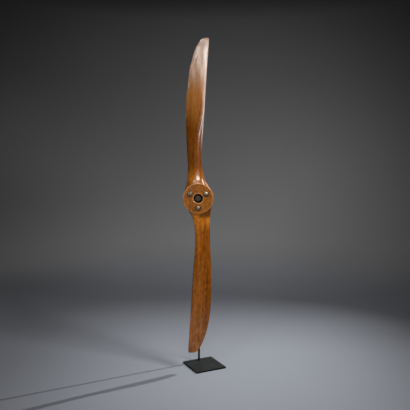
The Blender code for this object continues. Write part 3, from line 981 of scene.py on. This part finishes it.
        # Painted shadow below and right of each nut.
        shadowed = np.exp(-((self._distance_to_studs(local + (-0.007, 0.0, 0.017)) / 0.010) ** 2)) * on_face
        paint(mesh, "rubbed", np.maximum(0.75 * ring + 0.85 * rim_mark, pale))
        grime_and_shade = np.maximum(0.55 * seat + 0.28 * stain * patchy, 0.80 * shadowed)
        blots = 0.34 * smooth_step(ripple(local, 0.024, 37), 0.25, 1.1) * on_face
        grime_and_shade = np.maximum(grime_and_shade, blots)
        paint(mesh, "grime_and_shade", np.maximum(grime_and_shade, inside))
        paint(mesh, "worn", 0.30 * smooth_step(radius, rim - 0.004, rim) * on_face * patchy)
        paint(mesh, "aged", 0.05 * smooth_step(radius, rim - 0.022, rim - 0.040) * patchy * on_face)
        paint(mesh, "painted_sheen", np.zeros_like(radius))
        paint(mesh, "fresh_and_lit", 0.75 * on_face)
        return mesh

    def _filled(self, outline: Array, spacing: float) -> Array:
        """A closed profile with points added so that none of its sides is longer than spacing."""
        following = np.roll(outline, -1, axis=0)
        length = np.linalg.norm(following - outline, axis=1)
        count = np.maximum(1, np.ceil(length / spacing)).astype(int)
        position = np.repeat(np.arange(len(outline)), count)
        first = np.repeat(np.cumsum(count) - count, count)
        share = ((np.arange(count.sum()) - first) / count[position])[:, None]
        return outline[position] * (1 - share) + following[position] * share

    def _distance_to_studs(self, local: Array) -> Array:
        """Distance of each place on the hub from the nearest stud's centre line."""
        angles = -math.pi / 2 + FULL_TURN * np.arange(3) / 3
        centres = self.stud_circle / 2 * np.stack([np.cos(angles), np.sin(angles)], -1)
        flat = local[..., [0, 2]]
        return np.min(np.linalg.norm(flat[..., None, :] - centres, axis=-1), axis=-1)


@dataclass
class Fasteners:
    """Three studs with a washer and a nut each on the front of the hub."""

    places: Places
    stud_diameter: float = 0.0127
    thread_pitch: float = 0.0020
    thread_depth: float = 0.0011
    nut_across_flats: float = 0.0234
    edge_round: float = 0.0006
    nut_chamfer: float = 0.0017
    hole_gap: float = 0.0003

    def build(self) -> None:
        """Make the three sets and plate them."""
        plating = AgedPlating().material()
        tarnished = AgedPlating("tarnished_plating", (0.15, 0.105, 0.06), (0.05, 0.028, 0.014)).material()
        for k in (1, 2, 3):
            place_piece(f"stud_{k}", self._stud(k), plating, Slot.PLATED, f"stud_{k}")
            place_piece(f"washer_{k}", self._washer(k), tarnished, Slot.PLATED, f"washer_{k}")
            place_piece(f"nut_{k}", self._nut(k), plating, Slot.PLATED, f"nut_{k}")

    def _axle(self, node: str) -> tuple[Axle, float]:
        """The axle through a solid from its front end, and the solid's length."""
        low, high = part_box(node)
        middle = (low + high) / 2
        return Axle((middle.x, low.y, middle.z)), high.y - low.y

    def _stud(self, k: int) -> bpy.types.Mesh:
        """A stud whose radius follows a thread: r less the depth of a triangle wave.

        The wave's phase is the distance along the stud over the pitch, less the share of a
        turn, so that it winds. It fades out under the nut, and the ends are bevelled.
        """
        axle, length = self._axle(f"stud_{k}")
        sides = 48
        outer = self.stud_diameter / 2
        threaded = 0.020
        along = np.concatenate([
            np.linspace(0.0, threaded, 130), np.linspace(threaded, length, 14)[1:]
        ])
        angle = FULL_TURN * np.arange(sides) / sides
        phase = along[:, None] / self.thread_pitch - angle[None, :] / FULL_TURN
        wave = np.abs((phase % 1.0) - 0.5) * 2.0
        fade = smooth_step(along[:, None], threaded, threaded - 0.002)
        radius = outer - self.thread_depth * wave * fade
        bevel = 0.0014
        limit = outer - bevel + np.minimum(along, length - along)
        radius = np.minimum(radius, limit[:, None])
        rings = axle.points(radius, np.repeat(along[:, None], sides, axis=1), angle)
        return ring_mesh("stud", rings, Ends.CAPPED)

    def _washer(self, k: int) -> bpy.types.Mesh:
        """A flat ring with its four edges softened."""
        axle, thick = self._axle(f"washer_{k}")
        low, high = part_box(f"washer_{k}")
        outer = (high.x - low.x) / 2
        inner = self.stud_diameter / 2 + self.hole_gap
        corners = np.array([(inner, 0.0), (outer, 0.0), (outer, thick), (inner, thick)])
        profile = softened(corners, self.edge_round, closed=True)
        return turned_mesh("washer", axle, profile, Ends.JOINED)

    def _nut(self, k: int) -> bpy.types.Mesh:
        """A hexagonal nut: at each height the smaller of the hexagon and a cone off each face."""
        axle, thick = self._axle(f"nut_{k}")
        corner = self.nut_across_flats / math.sqrt(3)
        flat = self.nut_across_flats / 2
        hole = self.stud_diameter / 2 + self.hole_gap
        near = np.linspace(0.0, self.nut_chamfer, 6)
        outside = np.concatenate([near, thick - near[::-1]])
        cone = 0.97 * flat + np.minimum(outside, thick - outside) * 1.9
        lead = 0.0007
        inside = np.array([thick, thick - lead, lead, 0.0])
        bore = hole + np.array([lead, 0.0, 0.0, lead])
        profile = np.concatenate([
            np.stack([cone, outside], -1), np.stack([bore, inside], -1)
        ])
        sides = 96
        angle = FULL_TURN * np.arange(sides) / sides
        radius = np.repeat(profile[:, :1], sides, axis=1)
        outer = radius[: len(outside)]
        radius[: len(outside)] = np.minimum(outer, corner * hexagon(angle, 0.0))
        distance = np.repeat(profile[:, 1:], sides, axis=1)
        return ring_mesh("nut", axle.points(radius, distance, angle), Ends.JOINED)


@dataclass
class Stand:
    """Flange, arm, rod, base plate and the screws that hold them together."""

    places: Places
    arm_diameter: float = 0.040
    boss_diameter: float = 0.070
    flange_thickness: float = 0.010
    rod_diameter: float = 0.015
    gap: float = 0.0003
    base_side: float = 0.233
    base_turn: float = math.radians(28.4)
    corner_round: float = 0.0025
    edge_round: float = 0.0010
    screw_diameter: float = 0.008
    foot_head_diameter: float = 0.015
    socket_depth: float = 0.003
    socket_turn: float = math.radians(15)

    def build(self) -> None:
        """Make every piece of the stand and paint it."""
        satin = BlackPaint().material()
        worn = BlackPaint(
            "worn_black_paint", (0.034, 0.030, 0.024), (0.058, 0.050, 0.040), 0.45, 0.6
        ).material()
        steel = BlackedSteel().material()
        for name, mesh, finish in (
            ("flange", self._flange(), satin),
            ("arm", self._arm(), worn),
            ("rod", self._rod(), satin),
            ("base_plate", self._base_plate(), satin),
        ):
            place_piece(name, mesh, finish, Slot.STAND, name)
        for k, (along, across) in enumerate(self._screw_directions(), start=1):
            name = f"set_screw_{k}"
            place_piece(name, self._set_screw(name, along, across), steel, Slot.SCREWS, name)
        place_piece("foot_screw", self._foot_screw(), steel, Slot.SCREWS, "foot_screw")

    def _screw_directions(self) -> tuple[tuple[tuple[float, ...], tuple[float, ...]], ...]:
        """The way each set screw points out, and a way across it."""
        up, side, back = (0.0, 0.0, 1.0), (1.0, 0.0, 0.0), (0.0, 1.0, 0.0)
        return (up, side), (side, back), (back, side), (back, side)

    def _flange(self) -> bpy.types.Mesh:
        """Disc and boss in one, with a small hollow fillet in the corner between them."""
        low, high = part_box("flange")
        middle = (low + high) / 2
        disc = (high.x - low.x) / 2
        boss = self.boss_diameter / 2
        hole = self.arm_diameter / 2 + self.gap
        length = high.y - low.y
        corners = np.array([
            (hole, 0.0),
            (disc, 0.0),
            (disc, self.flange_thickness),
            (boss, self.flange_thickness),
            (boss, length),
            (hole, length),
        ])
        profile = softened(corners, 0.0018, closed=True)
        axle = Axle((middle.x, low.y, middle.z))
        return turned_mesh("flange", axle, profile, Ends.JOINED, sides=120)

    def _arm(self) -> bpy.types.Mesh:
        """A round bar with softened ends."""
        low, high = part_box("arm")
        middle = (low + high) / 2
        return self._bar("arm", Axle((middle.x, low.y, middle.z)), self.arm_diameter / 2, high.y - low.y)

    def _rod(self) -> bpy.types.Mesh:
        """The upright rod."""
        x, y = self.places.rod
        axle = Axle((x, y, self.places.rod_bottom), (0.0, 0.0, 1.0))
        length = self.places.rod_top - self.places.rod_bottom
        return self._bar("rod", axle, self.rod_diameter / 2, length)

    def _bar(self, name: str, axle: Axle, radius: float, length: float) -> bpy.types.Mesh:
        """A round bar: a straight profile from end to end, softened at both corners."""
        inner = radius * 0.4
        corners = np.array([(inner, 0.0), (radius, 0.0), (radius, length), (inner, length)])
        profile = softened(corners, self.edge_round, closed=False)
        return turned_mesh(name, axle, profile, Ends.CAPPED)

    def _base_plate(self) -> bpy.types.Mesh:
        """The square plate: a rounded square drawn in and out along a softened edge profile.

        A point is the plate's middle plus the corner circle's centre times one, plus the
        circle's own direction times its radius, both drawn in by the profile's inset.
        """
        low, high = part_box("base_plate")
        thick = high.z - low.z
        half = self.base_side / 2
        quarter = np.linspace(0.0, math.pi / 2, 7)
        angle = np.concatenate([quarter + math.pi / 2 * k for k in range(4)])
        corner = np.repeat(np.array([(1, 1), (-1, 1), (-1, -1), (1, -1)], float), 7, axis=0)
        circle = np.stack([np.cos(angle), np.sin(angle)], -1)
        corners = np.array([(0.3 * half, 0.0), (half, 0.0), (half, thick), (0.3 * half, thick)])
        profile = softened(corners, self.edge_round, closed=False)
        reach = profile[:, 0]
        bend = np.minimum(self.corner_round, 0.5 * reach)
        flat = corner[None] * (reach - bend)[:, None, None] + circle[None] * bend[:, None, None]
        c, s = math.cos(self.base_turn), math.sin(self.base_turn)
        x = flat[..., 0] * c - flat[..., 1] * s
        y = flat[..., 0] * s + flat[..., 1] * c
        z = np.repeat(low.z + profile[:, 1:], flat.shape[1], axis=1)
        middle = (low + high) / 2
        rings = np.stack([middle.x + x, middle.y + y, z], -1)
        return ring_mesh("base_plate", rings, Ends.CAPPED)

    def _set_screw(self, name: str, along: tuple, across: tuple) -> bpy.types.Mesh:
        """A set screw from its tip outwards, with a bevelled tip and a hexagonal key socket."""
        low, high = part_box(name)
        way = Vector(along)
        middle = (low + high) / 2
        length = abs((high - low).dot(way))
        axle = Axle(tuple(middle - way * (length / 2)), along, across)
        radius = self.screw_diameter / 2
        socket = 0.5 * self.screw_diameter / math.sqrt(3)
        bevel = 0.0008
        profile = np.array([
            (0.4 * radius, 0.0),
            (radius - bevel, 0.0),
            (radius, bevel),
            (radius, length - bevel),
            (radius - bevel, length),
            (socket + 0.0002, length),
            (socket, length - 0.0003),
            (socket, length - self.socket_depth),
            (0.4 * socket, length - self.socket_depth),
        ])
        hexed = np.array([0, 0, 0, 0, 0, 1, 1, 1, 1], float)
        return turned_mesh(
            "set_screw", axle, profile, Ends.CAPPED, 72, hexed, self.socket_turn
        )

    def _foot_screw(self) -> bpy.types.Mesh:
        """The countersunk screw under the plate, its head down and a key socket in it."""
        low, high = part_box("foot_screw")
        middle = (low + high) / 2
        axle = Axle((middle.x, middle.y, low.z), (0.0, 0.0, 1.0))
        length = high.z - low.z
        radius = self.screw_diameter / 2
        head = self.foot_head_diameter / 2
        socket = 0.5 * self.screw_diameter / math.sqrt(3)
        profile = np.array([
            (0.4 * socket, self.socket_depth),
            (socket, self.socket_depth),
            (socket, 0.0),
            (head - 0.0004, 0.0),
            (head, 0.0003),
            (radius, head - radius),
            (radius, length - 0.0008),
            (radius - 0.0008, length),
            (0.4 * radius, length),
        ])
        hexed = np.array([1, 1, 1, 0, 0, 0, 0, 0, 0], float)
        return turned_mesh(
            "foot_screw", axle, profile, Ends.CAPPED, 72, hexed, self.socket_turn
        )


# The studio


class LampKind(Enum):
    """Shapes of studio lamp."""

    SQUARE = "SQUARE"
    RECTANGLE = "RECTANGLE"
    DISK = "DISK"


@dataclass(frozen=True)
class Lamp:
    """A studio lamp: where it hangs, what it points at, its size in metres and its power."""

    name: str
    place: tuple[float, float, float]
    aim: tuple[float, float, float]
    watts: float
    size: tuple[float, float]
    kind: LampKind = LampKind.RECTANGLE
    colour: Colour = (1.0, 1.0, 1.0)
    spread: float = math.pi

    def hang(self) -> None:
        """Put the lamp in the scene, unseen by the camera itself."""
        light = bpy.data.lights.new(self.name, "AREA")
        light.shape = self.kind.value
        light.size = self.size[0]
        if self.kind is LampKind.RECTANGLE:
            light.size_y = self.size[1]
        light.energy = self.watts
        light.color = self.colour
        light.spread = self.spread
        lamp = bpy.data.objects.new(self.name, light)
        lamp.location = self.place
        way = Vector(self.aim) - Vector(self.place)
        lamp.rotation_euler = way.to_track_quat("-Z", "Y").to_euler()
        lamp.visible_camera = False
        bpy.context.scene.collection.objects.link(lamp)


@dataclass
class Studio:
    """Pale floor running up into a round wall, soft lamps, and the camera."""

    places: Places
    floor_radius: float = 2.1
    bend_radius: float = 2.6
    wall_height: float = 7.0
    camera_offset: tuple[float, float, float] = (0.1500, -3.6289, 0.1986)
    camera_yaw: float = math.radians(1.643)
    camera_pitch: float = math.radians(3.881)
    camera_roll: float = math.radians(0.196)
    focal_pixels: float = 522.61
    picture_pixels: float = 410.0
    sensor: float = 36.0
    lamps: tuple[Lamp, ...] = (
        Lamp("key_back_right", (3.76, 2.28, 4.09), (-0.04, -0.1, 0.6), 17.5, (0.05, 0.05),
             LampKind.DISK, spread=math.radians(50)),
        Lamp("soft_front_right", (3.05, -2.10, 3.5), (-0.04, 0.0, 1.0), 17.0, (1.25, 1.25),
             spread=math.radians(60)),
        Lamp("soft_front_left", (-1.80, -3.9, 3.6), (0.0, 0.0, 1.2), 5.0, (1.2, 1.0),
             spread=math.radians(60)),
        Lamp("soft_front", (0.17, -4.09, 2.50), (-0.04, -0.1, 1.2), 11.5, (2.2, 0.7),
             spread=math.radians(60)),
        Lamp("glow_on_upper_blade", (-2.05, -3.70, 3.60), (0.03, -0.1, 2.60), 1.7, (1.9, 1.4),
             spread=math.radians(27)),
        Lamp("wall_wash", (0.5, 0.9, 3.2), (0.5, 4.5, 0.3), 18.0, (1.2, 0.6),
             spread=math.radians(140)),
    )
    world_strength: float = 0.03
    floor_light_falloff: tuple[tuple[float, float], ...] = (
        (0.35, 1.00), (0.80, 0.89), (1.15, 0.78), (1.50, 0.63), (1.95, 0.51), (2.40, 0.57), (3.10, 0.72),
    )
    wall_light_falloff: tuple[tuple[float, float], ...] = (
        (0.20, 0.76), (0.45, 0.86), (1.60, 0.76), (2.80, 0.61), (3.40, 0.62), (3.85, 0.62), (3.98, 0.34),
    )
    tone_change: tuple[float, float] = (0.08, 0.32)
    floor_sides: tuple[float, float, float] = (0.6, 2.5, 1.8)
    darkest_side: float = 0.52
    widening: tuple[float, float] = (0.32, 0.85)
    wall_sides: tuple[float, float, float] = (0.3, 3.5, 2.9)
    wall_slant: tuple[float, float] = (0.9, 2.2)

    def build(self) -> None:
        """Lay the floor and wall, hang the lamps and set up the camera."""
        self._lay_stage()
        for lamp in self.lamps:
            lamp.hang()
        self._set_world()
        self._set_camera()

    def _lay_stage(self) -> None:
        """The floor and wall: a profile of radius and height swept about the upright axis.

        The profile is flat, then a quarter circle, then straight up.
        """
        floor = np.linspace(0.0, self.floor_radius, 22)[1:]
        bend = np.linspace(0.0, math.pi / 2, 36)[1:]
        rise = np.linspace(0.0, self.wall_height - self.bend_radius, 16)[1:]
        radius = np.concatenate([
            floor,
            self.floor_radius + self.bend_radius * np.sin(bend),
            np.full(len(rise), self.floor_radius + self.bend_radius),
        ])
        height = np.concatenate([
            np.zeros(len(floor)), self.bend_radius * (1 - np.cos(bend)), self.bend_radius + rise
        ])
        sides = 96
        angle = FULL_TURN * np.arange(sides) / sides
        rings = np.stack(
            [radius[:, None] * np.cos(angle), radius[:, None] * np.sin(angle),
             np.repeat(height[:, None], sides, axis=1)],
            -1,
        )
        rows = len(radius)
        row, column = np.meshgrid(np.arange(rows - 1), np.arange(sides), indexing="ij")
        after = (column + 1) % sides
        quads = np.stack(
            [row * sides + column, (row + 1) * sides + column,
             (row + 1) * sides + after, row * sides + after], -1
        ).reshape(-1, 4)
        middle = rows * sides
        here = np.arange(sides)
        fan = np.stack([np.full(sides, middle), here, (here + 1) % sides], -1)
        mesh = bpy.data.meshes.new("stage")
        points = np.concatenate([rings.reshape(-1, 3), np.zeros((1, 3))])
        mesh.from_pydata(points.tolist(), [], quads.tolist() + fan.tolist())
        mesh.shade_smooth()
        # Painted light and shade on the stage, carried by the tone mark.
        paint(mesh, "tone", self._painted_light(points))
        mesh.materials.append(StudioPaint().material())
        stage = bpy.data.objects.new("stage", mesh)
        stage.visible_shadow = False
        bpy.context.scene.collection.objects.link(stage)

    def _painted_light(self, points: Array) -> Array:
        """Painted light on the stage: a tone darkest where the floor turns up and falling off to both sides,
        standing in for the lamps' pool and falloff.

        It is a tone by depth on the floor and by height on the wall, each times a bell curve
        sideways, exp(-((x - c) / w)^2). The bell widens with depth, and on the wall it widens
        to the left with height to the power 1.5.

        Args:
            points: Places on the stage.

        Returns:
            One tone a place.
        """
        x, y, z = points.T
        on_floor = np.interp(y, *np.array(self.floor_light_falloff).T)
        on_wall = np.interp(z, *np.array(self.wall_light_falloff).T)
        centre, left, right = self.floor_sides
        widening = np.where(x < centre, *self.widening)
        width = np.where(x < centre, left, right) * (1.0 + widening * np.clip(y - 0.8, 0.0, 2.0))
        bell = np.exp(-(((x - centre) / width) ** 2))
        on_floor *= np.maximum(bell, self.darkest_side)
        centre, left, right = self.wall_sides
        start, growth = self.wall_slant
        left = left + growth * np.clip(z - start, 0.0, 2.6) ** 1.5
        on_wall *= np.exp(-(((x - centre) / np.where(x < centre, left, right)) ** 2))
        share = smooth_step(z, *self.tone_change)
        return on_floor * (1 - share) + on_wall * share

    def _set_world(self) -> None:
        """A dim even grey beyond the wall."""
        world = bpy.data.worlds.new("studio")
        world.use_nodes = True
        background = world.node_tree.nodes["Background"]
        background.inputs["Color"].default_value = (0.9, 0.95, 1.0, 1.0)
        background.inputs["Strength"].default_value = self.world_strength
        bpy.context.scene.world = world
        bpy.context.scene.view_settings.view_transform = "Standard"

    def _set_camera(self) -> None:
        """The camera, placed from the hub's centre and turned by yaw, pitch and roll."""
        camera = bpy.data.cameras.new("camera")
        camera.sensor_width = self.sensor
        camera.lens = self.focal_pixels * self.sensor / self.picture_pixels
        camera.clip_end = 100.0
        yaw, pitch, roll = self.camera_yaw, self.camera_pitch, self.camera_roll
        level = Vector((-math.sin(yaw), math.cos(yaw), 0.0))
        right = Vector((math.cos(yaw), math.sin(yaw), 0.0))
        upright = Vector((0.0, 0.0, 1.0))
        forwards = level * math.cos(pitch) - upright * math.sin(pitch)
        top = level * math.sin(pitch) + upright * math.cos(pitch)
        side = right * math.cos(roll) + top * math.sin(roll)
        top = top * math.cos(roll) - right * math.sin(roll)
        turn = Matrix((side, top, -forwards)).transposed()
        place = Vector(self.places.hub) + Vector(self.camera_offset)
        holder = bpy.data.objects.new("camera", camera)
        holder.matrix_world = Matrix.LocRotScale(place, turn.to_quaternion(), None)
        bpy.context.scene.collection.objects.link(holder)
        bpy.context.scene.camera = holder


def main() -> None:
    """Build the propeller, its fasteners, the stand and the studio."""
    logging.basicConfig(level=logging.INFO, format="%(message)s")
    places = Places.from_model()
    Propeller(places).build()
    Fasteners(places).build()
    Stand(places).build()
    Studio(places).build()


if __name__ == "__main__":
    main()
